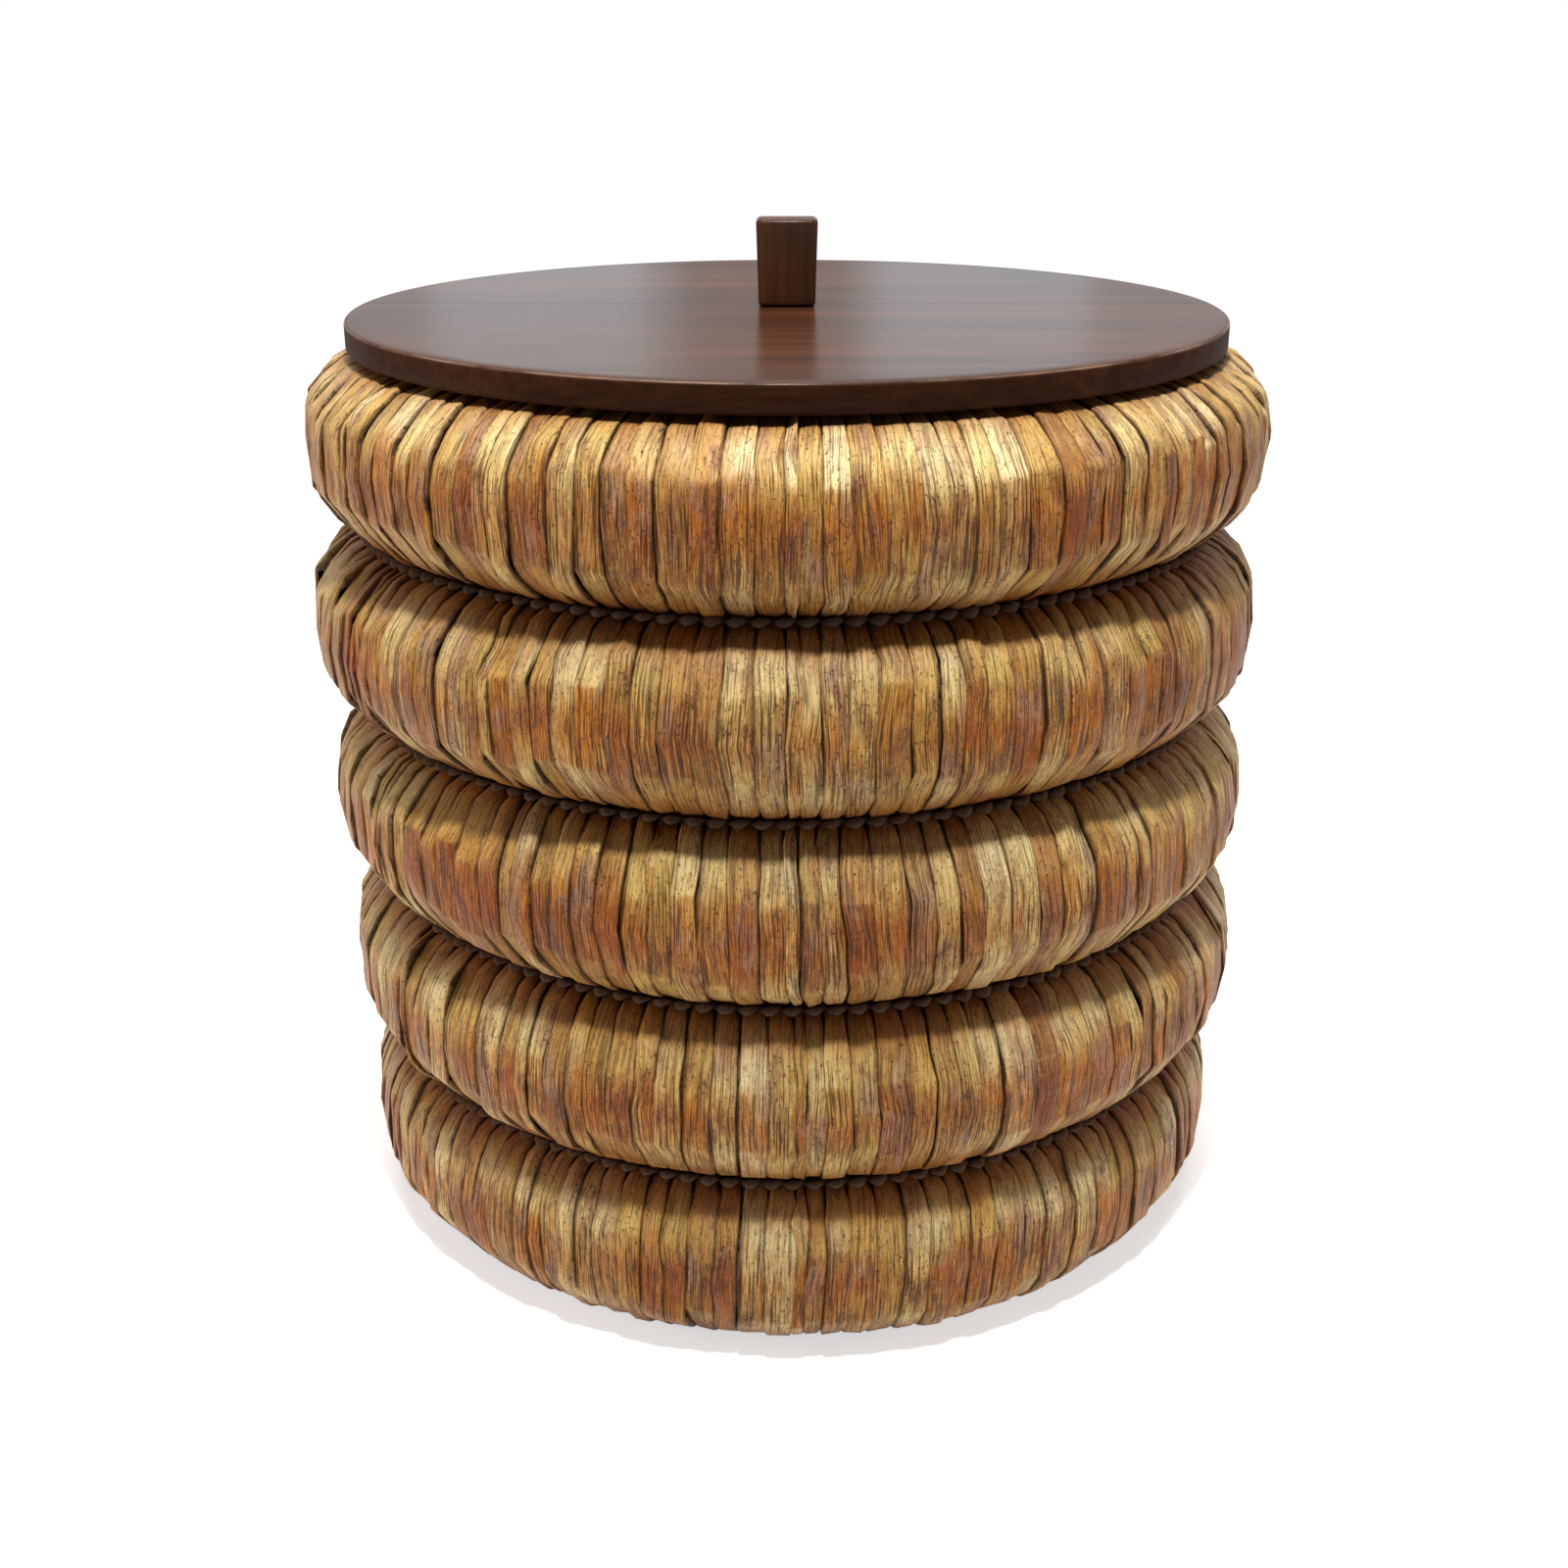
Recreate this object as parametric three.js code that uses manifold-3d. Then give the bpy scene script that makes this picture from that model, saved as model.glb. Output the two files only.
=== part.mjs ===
// A round storage basket: five bulging bands of upright plant strips on a wire frame, and a plank lid.
// Sizes are in millimetres, +Z is up, and the origin is on the floor in the middle of the foot.
// Bands, cords and hoops are numbered from the floor up.

import * as THREE from "three";
import { mergeVertices } from "three/addons/utils/BufferGeometryUtils.js";
import Module from "manifold-3d";

const wasm = await Module();
wasm.setup();

// Woven wall
const waistRadius = 209; // outside of the wall where a cord draws it in
const bandBulges = [22.5, 28, 29, 31, 30]; // how far each band stands out from its waists
const bandPitch = 90.9; // height from one waist to the next
const footRise = 45.8; // floor to the middle of the lowest band
const rimRise = 40.6; // middle of the top band to the top of the rim
const hoopSpread = 38; // height between the two hoops of a band
const faceArch = 2; // how far the sloping strips arch out between a hoop and a waist
const stripThickness = 3.5; // the strips overlap, so the wall is two layers thick
const rollInset = 14; // from a waist in to the inner face of the rolled rim and foot
const rollCorner = 3; // corner of the roll
const rollFlat = 10; // flat on which the lid rests above and the basket stands below
const rollDepth = 22; // how far the strip ends are turned back inside
const rollPlay = 1; // room between the turned-back ends and the hoop in the roll

// Wire frame
const wireRadius = 2.5;
const ribCount = 8;
const ribBar = 5; // square bar of the upright ribs
const ribStart = Math.PI / 8; // bearing of the first rib

// Cords
const cordRadius = 3.2;
const bindingRadius = 3;
const bindingInset = 4; // from the strip ends to the cord that binds them

// Base
const baseBarWidth = 20;
const baseBarThickness = 3;
const baseBarSpacing = 110;
const baseMatThickness = 6;

// Lid
const lidOverhang = 9.5; // past the flat of the rim
const lidThickness = 13.3;
const lidArris = 1.6; // rounding of the lid's edges
const jointLine = 19; // the glue joint of the two boards, behind the middle
const battenWidth = 30;
const battenThickness = 12;
const battenSpacing = 190;
const battenPlay = 5; // room between the batten ends and the rim's binding
const battenEndToScrew = 35;
const jointToScrew = 34; // from the glue joint to the screws beside it

// Handle
const handleWidth = 31;
const handleFootWidth = 28.5; // the peg narrows towards the lid
const handleDepth = 20;
const handleHeight = 42.5;
const handleRounding = 3;
const handleSetBack = 12; // behind the middle of the lid
const handleScrewSpacing = 13;
const handleScrewGrip = 22; // length of screw inside the handle

// Screws
const screwShank = 2; // radii
const screwHead = 4;
const screwHeadHeight = 2.2;
const battenScrewGrip = 7.5; // length of screw inside the lid boards
const screwTip = 2.5;

const gap = 0.3; // clearance between pieces that touch
const ringSteps = 32;
const lidSteps = 48;
const screwSides = 8;

const bandRadii = bandBulges.map((bulge) => waistRadius + bulge);
const bandCount = bandRadii.length;
const rimTop = footRise + (bandCount - 1) * bandPitch + rimRise;
const hoopSeat = stripThickness + gap + wireRadius; // from the outside of the wall to a hoop's middle
const rollInside = waistRadius - rollInset;
const rollHoopRadius = rollInside + hoopSeat + rollPlay;
const lidRadius = rollInside + rollCorner + rollFlat + lidOverhang;

const straw = new THREE.MeshStandardMaterial({ color: 0xb98a4c, roughness: 0.75, metalness: 0 });
const cord = new THREE.MeshStandardMaterial({ color: 0x8a7458, roughness: 0.9, metalness: 0 });
const steel = new THREE.MeshStandardMaterial({ color: 0x2b2a28, roughness: 0.55, metalness: 0.6 });
const walnut = new THREE.MeshStandardMaterial({ color: 0x43261a, roughness: 0.35, metalness: 0 });
const zinc = new THREE.MeshStandardMaterial({ color: 0xb9bcc0, roughness: 0.35, metalness: 1 });

// The path that lies `distance` to the left of `points`. Its ends are cut level, or square to the path.
function beside(points, distance, levelEnds) {
  const lefts = points.slice(1).map((point, i) => {
    const along = point.clone().sub(points[i]).normalize();
    return new THREE.Vector2(-along.y, along.x);
  });
  return points.map((point, i) => {
    const before = lefts[Math.max(i - 1, 0)];
    const after = lefts[Math.min(i, lefts.length - 1)];
    const isEnd = i === 0 || i === points.length - 1;
    if (isEnd && levelEnds) {
      return new THREE.Vector2(point.x + distance / before.x, point.y);
    }
    const mitre = before.clone().add(after);
    return point.clone().addScaledVector(mitre, distance / (1 + before.dot(after)));
  });
}

// A ring around +Z. `outline` is its closed section as (radius, height), anticlockwise.
function ringGeometry(outline, steps = ringSteps) {
  return new THREE.LatheGeometry([...outline, outline[0]], steps).rotateX(Math.PI / 2);
}

// A wire or cord bent into a hoop.
function hoopGeometry(radius, height, thickness, sides) {
  const outline = [];
  for (let i = 0; i < sides; i++) {
    const angle = (2 * Math.PI * (i + 0.5)) / sides;
    outline.push(
      new THREE.Vector2(radius + thickness * Math.cos(angle), height + thickness * Math.sin(angle)),
    );
  }
  return ringGeometry(outline);
}

function solidOf(geometry) {
  const plain = geometry.index ? geometry.toNonIndexed() : geometry.clone();
  plain.deleteAttribute("normal");
  plain.deleteAttribute("uv");
  const merged = mergeVertices(plain, 1e-4);
  return new wasm.Manifold(
    new wasm.Mesh({
      numProp: 3,
      vertProperties: merged.attributes.position.array,
      triVerts: new Uint32Array(merged.index.array),
    }),
  );
}

function geometryOf(solid) {
  const mesh = solid.getMesh();
  const geometry = new THREE.BufferGeometry();
  geometry.setAttribute("position", new THREE.BufferAttribute(mesh.vertProperties, mesh.numProp));
  geometry.setIndex(new THREE.BufferAttribute(mesh.triVerts, 1));
  return geometry;
}

function cutAway(geometry, cutters) {
  const left = cutters.reduce((solid, cutter) => solid.subtract(solidOf(cutter)), solidOf(geometry));
  return geometryOf(left);
}

// An upright hole for a screw, whose flat sides all clear the shank.
function screwHole(x, y, low, high) {
  const radius = (screwShank + gap) / Math.cos(Math.PI / screwSides);
  return new THREE.CylinderGeometry(radius, radius, high - low, screwSides)
    .rotateX(Math.PI / 2)
    .translate(x, y, (low + high) / 2);
}

function addPiece(group, name, geometry, material) {
  const mesh = new THREE.Mesh(geometry, material);
  mesh.name = name;
  group.add(mesh);
  return mesh;
}

const bandMiddle = (band) => footRise + band * bandPitch;
const waistHeight = (waist) => bandMiddle(waist) + bandPitch / 2;

// The middle of a sloping face, pushed out by its arch. The outside is to the right of from-to.
function archPoint(from, to) {
  const along = to.clone().sub(from).normalize();
  const outward = new THREE.Vector2(along.y, -along.x);
  return from.clone().lerp(to, 0.5).addScaledVector(outward, faceArch);
}

// Strips rolled over the foot hoop, from their turned-back ends to the outer edge of the flat.
function footRoll() {
  const flatStart = rollInside + rollCorner;
  return [
    new THREE.Vector2(rollInside, rollDepth),
    new THREE.Vector2(rollInside, rollCorner),
    new THREE.Vector2(flatStart, 0),
    new THREE.Vector2(flatStart + rollFlat, 0),
  ];
}

// The same roll at the rim, from the outer edge of its flat down to the strip ends.
function rimRoll() {
  return footRoll()
    .map((point) => new THREE.Vector2(point.x, rimTop - point.y))
    .reverse();
}

// The outside of one band from bottom to top, as (radius, height).
function bandPath(band) {
  const middle = bandMiddle(band);
  const radius = bandRadii[band];
  const lowHoop = new THREE.Vector2(radius, middle - hoopSpread / 2);
  const highHoop = new THREE.Vector2(radius, middle + hoopSpread / 2);
  const start =
    band === 0
      ? footRoll()
      : [new THREE.Vector2(waistRadius, middle - bandPitch / 2 + gap / 2)];
  const end =
    band === bandCount - 1
      ? rimRoll()
      : [new THREE.Vector2(waistRadius, middle + bandPitch / 2 - gap / 2)];
  const lowFace = archPoint(start[start.length - 1], lowHoop);
  const highFace = archPoint(highHoop, end[0]);
  return [...start, lowFace, lowHoop, highHoop, highFace, ...end];
}

// Where the two hoops of a band lie when their middles are `depth` inside the outer face.
function hoopPlaces(band, depth) {
  const path = bandPath(band);
  const inner = beside(path, depth, true);
  const low = path.findIndex((point) => point.x === bandRadii[band]);
  return [inner[low], inner[low + 1]];
}

// A distance square to a sloping face, over the same distance along the radius. At a waist two
// faces meet, and the flatter one counts.
function stretchBetween(notch, ...faces) {
  return Math.max(...faces.map((face) => notch.distanceTo(face) / Math.abs(notch.y - face.y)));
}

function waistStretch(waist) {
  const [faceBelow, notch] = bandPath(waist).slice(-2);
  const faceAbove = bandPath(waist + 1)[1];
  return stretchBetween(notch, faceBelow, faceAbove);
}

function waistHoopRadius(waist) {
  return waistRadius - stripThickness * waistStretch(waist) - gap - wireRadius;
}

function wovenWall(group) {
  for (let band = 0; band < bandCount; band++) {
    const outside = bandPath(band);
    const inside = beside(outside, stripThickness, true).reverse();
    addPiece(group, `woven_band_${band + 1}`, ringGeometry([...outside, ...inside]), straw);
  }
}

// The middle of a cord that lies against both faces of a waist.
function cordPlace(waist) {
  const faceBelow = bandPath(waist).at(-2);
  const notch = new THREE.Vector2(waistRadius, waistHeight(waist));
  const faceAbove = bandPath(waist + 1)[1];
  return beside([faceBelow, notch, faceAbove], -cordRadius - gap, false)[1];
}

function cords(group) {
  for (let waist = 0; waist < bandCount - 1; waist++) {
    const place = cordPlace(waist);
    const ring = hoopGeometry(place.x, place.y, cordRadius, 6);
    addPiece(group, `twined_cord_${waist + 1}`, ring, cord);
  }
  const bindingPlace = rollInside - gap - bindingRadius;
  const footHeight = rollDepth - bindingInset - bindingRadius;
  addPiece(group, "foot_binding", hoopGeometry(bindingPlace, footHeight, bindingRadius, 6), cord);
  const rimHeight = rimTop - footHeight;
  addPiece(group, "rim_binding", hoopGeometry(bindingPlace, rimHeight, bindingRadius, 6), cord);
}

function hoops(group) {
  for (let band = 0; band < bandCount; band++) {
    const [low, high] = hoopPlaces(band, hoopSeat);
    addPiece(group, `low_hoop_${band + 1}`, hoopGeometry(low.x, low.y, wireRadius, 5), steel);
    addPiece(group, `high_hoop_${band + 1}`, hoopGeometry(high.x, high.y, wireRadius, 5), steel);
  }
  for (let waist = 0; waist < bandCount - 1; waist++) {
    const ring = hoopGeometry(waistHoopRadius(waist), waistHeight(waist), wireRadius, 5);
    addPiece(group, `waist_hoop_${waist + 1}`, ring, steel);
  }
  addPiece(group, "foot_hoop", hoopGeometry(rollHoopRadius, hoopSeat, wireRadius, 5), steel);
  addPiece(group, "rim_hoop", hoopGeometry(rollHoopRadius, rimTop - hoopSeat, wireRadius, 5), steel);
}

// A point on the line from `hoop` to `next`, just clear of the hoop's wire.
function clearOf(hoop, next) {
  const along = next.clone().sub(hoop).normalize();
  return hoop.clone().addScaledVector(along, wireRadius + gap);
}

// The middle line of a rib from the foot hoop to the rim hoop, inside every other hoop.
function ribLine() {
  const fromHoop = wireRadius + gap + ribBar / 2;
  const places = bandRadii.map((_, band) => hoopPlaces(band, hoopSeat + fromHoop));
  const line = [...places[0]];
  for (let waist = 0; waist < bandCount - 1; waist++) {
    const notch = new THREE.Vector2(waistHoopRadius(waist) - 2 * fromHoop, waistHeight(waist));
    const stretch = stretchBetween(notch, places[waist][1], places[waist + 1][0]);
    notch.x = waistHoopRadius(waist) - fromHoop * stretch;
    line.push(notch, ...places[waist + 1]);
  }
  const foot = clearOf(new THREE.Vector2(rollHoopRadius, hoopSeat), line[0]);
  const rim = clearOf(new THREE.Vector2(rollHoopRadius, rimTop - hoopSeat), line[line.length - 1]);
  return [foot, ...line, rim];
}

function ribs(group) {
  const line = ribLine();
  const outside = beside(line, -ribBar / 2, false);
  const inside = beside(line, ribBar / 2, false).reverse();
  const shape = new THREE.Shape([...outside, ...inside]);
  const bar = new THREE.ExtrudeGeometry(shape, { depth: ribBar, bevelEnabled: false })
    .rotateX(Math.PI / 2)
    .translate(0, ribBar / 2, 0);
  for (let i = 0; i < ribCount; i++) {
    const rib = addPiece(group, `frame_rib_${i + 1}`, bar, steel);
    rib.rotation.z = ribStart + (2 * Math.PI * i) / ribCount;
  }
}

// Three flat bars across the lowest hoop, and the mat that lies on them.
function base(group) {
  const [lowHoop] = hoopPlaces(0, hoopSeat);
  const barLow = lowHoop.y + wireRadius + gap;
  const names = ["base_bar_front", "base_bar_middle", "base_bar_rear"];
  names.forEach((name, i) => {
    const y = (i - 1) * baseBarSpacing;
    const farEdge = Math.abs(y) + baseBarWidth / 2;
    const length = 2 * Math.sqrt(lowHoop.x ** 2 - farEdge ** 2);
    const bar = addPiece(
      group,
      name,
      new THREE.BoxGeometry(length, baseBarWidth, baseBarThickness),
      steel,
    );
    bar.position.set(0, y, barLow + baseBarThickness / 2);
  });

  const matLow = barLow + baseBarThickness + gap;
  const matRadius = bandRadii[0] - stripThickness - 2 * gap;
  const [ribMiddle] = hoopPlaces(0, hoopSeat + wireRadius + gap + ribBar / 2);
  const notchStart = ribMiddle.x - ribBar / 2 - 2 * gap;
  const notchWidth = ribBar + 4 * gap;
  const notches = [];
  for (let i = 0; i < ribCount; i++) {
    notches.push(
      new THREE.BoxGeometry(matRadius, notchWidth, 3 * baseMatThickness)
        .translate(notchStart + matRadius / 2, 0, 0)
        .rotateZ(ribStart + (2 * Math.PI * i) / ribCount),
    );
  }
  const disc = new THREE.CylinderGeometry(matRadius, matRadius, baseMatThickness, ringSteps);
  const mat = addPiece(group, "base_mat", cutAway(disc.rotateX(Math.PI / 2), notches), straw);
  mat.position.z = matLow + baseMatThickness / 2;
}

function battenHalfLength() {
  const room = rollInside - gap - 2 * bindingRadius - battenPlay;
  return Math.sqrt(room ** 2 - ((battenSpacing + battenWidth) / 2) ** 2);
}

// Two screws on each side of the glue joint, along one batten.
function battenScrewPlaces() {
  const end = battenHalfLength() - battenEndToScrew;
  return [-end, jointLine - jointToScrew, jointLine + jointToScrew, end];
}

const battenScrews = () =>
  [-1, 1].flatMap((side) => battenScrewPlaces().map((y) => [(side * battenSpacing) / 2, y]));

const handleScrews = () => [-1, 1].map((side) => [(side * handleScrewSpacing) / 2, handleSetBack]);

// The lid's two boards: one disc with rounded edges, parted at the glue joint.
function lidBoards(group) {
  const soft = lidArris * 0.3;
  const outline = [
    new THREE.Vector2(0, 0),
    new THREE.Vector2(lidRadius - lidArris, 0),
    new THREE.Vector2(lidRadius - soft, soft),
    new THREE.Vector2(lidRadius, lidArris),
    new THREE.Vector2(lidRadius, lidThickness - lidArris),
    new THREE.Vector2(lidRadius - soft, lidThickness - soft),
    new THREE.Vector2(lidRadius - lidArris, lidThickness),
    new THREE.Vector2(0, lidThickness),
  ];
  const holes = [
    ...battenScrews().map(([x, y]) => screwHole(x, y, -1, battenScrewGrip + gap)),
    ...handleScrews().map(([x, y]) => screwHole(x, y, -1, lidThickness + 1)),
  ];
  const disc = cutAway(new THREE.LatheGeometry(outline, lidSteps).rotateX(Math.PI / 2), holes);
  const wide = 3 * lidRadius;
  const behindJoint = new THREE.BoxGeometry(wide, wide, wide);
  behindJoint.translate(0, jointLine - gap / 2 + wide / 2, 0);
  const beforeJoint = new THREE.BoxGeometry(wide, wide, wide);
  beforeJoint.translate(0, jointLine + gap / 2 - wide / 2, 0);
  addPiece(group, "lid_front_board", cutAway(disc, [behindJoint]), walnut);
  addPiece(group, "lid_rear_board", cutAway(disc, [beforeJoint]), walnut);
}

// Battens across the boards keep them flat, and their ends find the rim.
function lidBattens(group) {
  const length = 2 * battenHalfLength();
  const holes = battenScrewPlaces().map((y) => screwHole(0, y, -battenThickness, battenThickness));
  const bar = cutAway(new THREE.BoxGeometry(battenWidth, length, battenThickness), holes);
  for (const [name, side] of [["lid_batten_left", -1], ["lid_batten_right", 1]]) {
    const batten = addPiece(group, name, bar, walnut);
    batten.position.set((side * battenSpacing) / 2, 0, -gap - battenThickness / 2);
  }
}

// A screw that points up: its head starts at height 0.
function screwGeometry(grip, passes) {
  const length = screwHeadHeight + gap + passes + grip;
  const outline = [
    new THREE.Vector2(0, 0),
    new THREE.Vector2(screwHead * 0.75, 0),
    new THREE.Vector2(screwHead, screwHeadHeight * 0.4),
    new THREE.Vector2(screwHead, screwHeadHeight),
    new THREE.Vector2(screwShank, screwHeadHeight),
    new THREE.Vector2(screwShank, length - screwTip),
    new THREE.Vector2(0, length),
  ];
  return new THREE.LatheGeometry(outline, screwSides).rotateX(Math.PI / 2);
}

function screws(group) {
  const battenScrew = screwGeometry(battenScrewGrip, battenThickness + gap);
  battenScrews().forEach(([x, y], i) => {
    const screw = addPiece(group, `batten_screw_${i + 1}`, battenScrew, zinc);
    screw.position.set(x, y, -2 * gap - battenThickness - screwHeadHeight);
  });
  const handleScrew = screwGeometry(handleScrewGrip, lidThickness + gap);
  handleScrews().forEach(([x, y], i) => {
    const screw = addPiece(group, ["handle_screw_left", "handle_screw_right"][i], handleScrew, zinc);
    screw.position.set(x, y, -gap - screwHeadHeight);
  });
}

// The peg: a block with rounded edges that narrows towards its foot.
function handle(group) {
  const flat = handleRounding / 2; // rounding of the top and foot edges
  const x = handleWidth / 2 - flat;
  const y = handleDepth / 2 - flat;
  const r = handleRounding - flat;
  const shape = new THREE.Shape();
  shape.absarc(x - r, y - r, r, 0, Math.PI / 2);
  shape.absarc(r - x, y - r, r, Math.PI / 2, Math.PI);
  shape.absarc(r - x, r - y, r, Math.PI, 1.5 * Math.PI);
  shape.absarc(x - r, r - y, r, 1.5 * Math.PI, 2 * Math.PI);
  const block = new THREE.ExtrudeGeometry(shape, {
    depth: handleHeight - 2 * flat,
    bevelThickness: flat,
    bevelSize: flat,
    bevelSegments: 2,
    curveSegments: 3,
  }).translate(0, 0, flat);
  const places = block.attributes.position;
  for (let i = 0; i < places.count; i++) {
    const rise = places.getZ(i) / handleHeight;
    const width = handleFootWidth + (handleWidth - handleFootWidth) * rise;
    places.setX(i, (places.getX(i) * width) / handleWidth);
  }
  const holes = handleScrews().map(([hx]) => screwHole(hx, 0, -1, handleScrewGrip + gap));
  const peg = addPiece(group, "lid_handle", cutAway(block, holes), walnut);
  peg.position.set(0, handleSetBack, lidThickness + gap);
}

const basket = new THREE.Group();
const body = new THREE.Group();
wovenWall(body);
cords(body);
hoops(body);
ribs(body);
base(body);
basket.add(body);

const lid = new THREE.Group();
lid.position.z = rimTop + gap;
lidBoards(lid);
lidBattens(lid);
screws(lid);
handle(lid);
basket.add(lid);

export default basket;
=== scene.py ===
"""The finish of a round storage basket with a plank lid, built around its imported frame.

Places and lengths are in metres in the frame's own axes: +Z is up and the viewer looks along +Y.
A bearing is the angle round the basket, 0 at the front and rising towards +X.
"""

import math

import bmesh
import bpy
import numpy as np
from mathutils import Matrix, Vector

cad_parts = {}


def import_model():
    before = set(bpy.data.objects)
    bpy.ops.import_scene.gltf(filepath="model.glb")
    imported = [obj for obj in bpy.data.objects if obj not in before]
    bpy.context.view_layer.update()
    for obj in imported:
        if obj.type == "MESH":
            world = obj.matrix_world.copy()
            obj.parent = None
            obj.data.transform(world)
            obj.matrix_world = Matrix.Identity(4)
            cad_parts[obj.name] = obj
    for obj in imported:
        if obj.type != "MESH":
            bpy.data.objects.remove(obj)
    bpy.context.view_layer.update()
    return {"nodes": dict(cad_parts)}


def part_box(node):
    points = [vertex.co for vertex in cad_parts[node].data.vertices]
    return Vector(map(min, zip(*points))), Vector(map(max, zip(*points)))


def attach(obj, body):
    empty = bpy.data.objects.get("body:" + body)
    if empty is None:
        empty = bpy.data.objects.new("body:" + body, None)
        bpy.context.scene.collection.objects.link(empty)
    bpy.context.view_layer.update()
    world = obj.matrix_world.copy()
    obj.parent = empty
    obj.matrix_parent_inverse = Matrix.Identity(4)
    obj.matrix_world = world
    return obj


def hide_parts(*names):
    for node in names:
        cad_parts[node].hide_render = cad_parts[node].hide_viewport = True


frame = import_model()
boxes = {node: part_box(node) for node in frame["nodes"]}

mm = 0.001
full_turn = 2 * np.pi

# The wall, as far as its boxes don't give it
band_count = 5
waist_radius = 209 * mm
hoop_spread = 37 * mm  # height between the two hoops of a band
hoop_drop = 1.8 * mm  # the strips bend over a hoop this far inside the band's widest radius
belly = 3 * mm  # how far they arch out between the two hoops
upper_arch = 4.6 * mm  # and between a hoop and the waist above it
lower_arch = 3.4 * mm
roll_inside = 195 * mm
roll_outside = 206 * mm
roll_depth = 22 * mm
roll_cover = 2.0 * mm  # from the roll's path to the rim's flat or the floor
band_offsets = np.array([2.6, 3.6, 1.2, -2.3, 0.2]) * mm  # how far each band sits to the right, floor up

# Strips
strip_count = 134
strip_thickness = 1.2 * mm
shingle = 0.36 * mm  # how far a strip's edge lies over or under its middle
waist_gap = 0.2 * mm  # between the strips' ends and the waist
latest_bend = 6 * mm  # how far past its hoop a strip may bend, seen from the band's middle
earliest_bend = -3 * mm
rounder_above = 1.7  # how much rounder a strip bends over the upper hoop
furthest_reach = 0.45  # the share of the way to the next corner that a bend may take up
deepest_side = 4.5  # how many thicknesses a strip's side may reach down
longest_start = 400  # the pattern on a strip starts anywhere in this many mm
inner_strip_count = 92
inner_depth = 2.0 * mm  # from the path in to the inner strips
inner_thickness = 1.1 * mm
inner_overrun = 3.6 * mm  # how far they run on past a waist, where they cross those of the next band
inner_lap = 1.8 * mm  # how far each goes past the line to its neighbour
inner_reach = 5 * mm  # how far from a corner their bends start
first_inner_number = 1000  # keeps their numbers apart from the outer strips'

# Painted shade, which darkens and reddens the strips towards the waists, where the band above shades them
waist_shade = [1.4, 1.12, 0.7, 1.03, 0.96]  # how strong it is on each band, floor up
rim_shade = 0.55  # the share of it that is left at the rim

# Wires, bars and cords
wire_radius = 2.5 * mm
rib_count = 8
rib_bar = 5 * mm
rib_reach = 5 * mm  # how far from a corner a rib's bend starts
rib_start = math.pi / 8
bar_rounding = 0.9 * mm
wire_gap = 0.3 * mm
cord_radius = 3.2 * mm
binding_radius = 3 * mm
strands = 2

# Lid
lid_radius = 217.5 * mm
lid_arris = 1.7 * mm
board_gap = 0.3 * mm
peg_foot_scale = 28.5 / 31  # the peg's width at its foot, as a share of the one at its top


def srgb(red, green, blue):
    """A colour given as 0 to 255 on the screen, as the linear colour that a shader takes."""
    screen = np.array([red, green, blue]) / 255
    linear = np.where(screen <= 0.04045, screen / 12.92, ((screen + 0.055) / 1.055) ** 2.4)
    return (*linear, 1.0)


# Meshes


def tube_faces(count, stations, around):
    """Quads round closed tubes, and a face at each end. Points are numbered by tube, then by station."""
    number = np.arange(count * stations * around).reshape(count, stations, around)
    after = np.roll(number, -1, axis=2)
    quads = np.stack([number[:, :-1], after[:, :-1], after[:, 1:], number[:, 1:]], axis=-1)
    ends = np.concatenate([number[:, 0, ::-1], number[:, -1]])
    return [quads.reshape(-1, 4), ends]


def loop_faces(count, stations, around):
    """Quads of closed tubes whose last station meets their first, as on a ring."""
    number = np.arange(count * stations * around).reshape(count, stations, around)
    after = np.roll(number, -1, axis=2)
    quads = np.stack([number, after, np.roll(after, -1, axis=1), np.roll(number, -1, axis=1)], axis=-1)
    return [quads.reshape(-1, 4)]


def new_piece(name, points, face_groups, material, sharp_angle=50):
    """An object whose mesh has `points` and, for each row of each index array, a face."""
    points = np.asarray(points, np.float32).reshape(-1, 3)
    corners = np.concatenate([group.ravel() for group in face_groups])
    sizes = np.concatenate([np.full(len(group), group.shape[1]) for group in face_groups])
    mesh = bpy.data.meshes.new(name)
    mesh.vertices.add(len(points))
    mesh.vertices.foreach_set("co", points.ravel())
    mesh.loops.add(len(corners))
    mesh.loops.foreach_set("vertex_index", corners.astype(np.int32))
    mesh.polygons.add(len(sizes))
    mesh.polygons.foreach_set("loop_start", (np.cumsum(sizes) - sizes).astype(np.int32))
    mesh.update(calc_edges=True)
    mesh.polygons.foreach_set("use_smooth", np.ones(len(sizes), bool))
    mesh.set_sharp_from_angle(angle=math.radians(sharp_angle))
    mesh.materials.append(material)
    piece = bpy.data.objects.new(name, mesh)
    bpy.context.scene.collection.objects.link(piece)
    return piece


def set_point_values(piece, name, kind, values):
    """Stores one number or vector for each point of a piece, for its material to read."""
    attribute = piece.data.attributes.new(name, kind, "POINT")
    field = "vector" if kind == "FLOAT_VECTOR" else "value"
    attribute.data.foreach_set(field, np.asarray(values, np.float32).ravel())


def stacked(*values):
    """The values, broadcast against each other, side by side along a new last axis."""
    return np.stack(np.broadcast_arrays(*values), axis=-1)


def round_angles(count):
    """Angles that part a full turn evenly."""
    return np.arange(count) / count * full_turn


def on_bearing(bearing, radius, height):
    """Points at a bearing, a radius and a height."""
    return stacked(radius * np.sin(bearing), -radius * np.cos(bearing), height)


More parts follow.
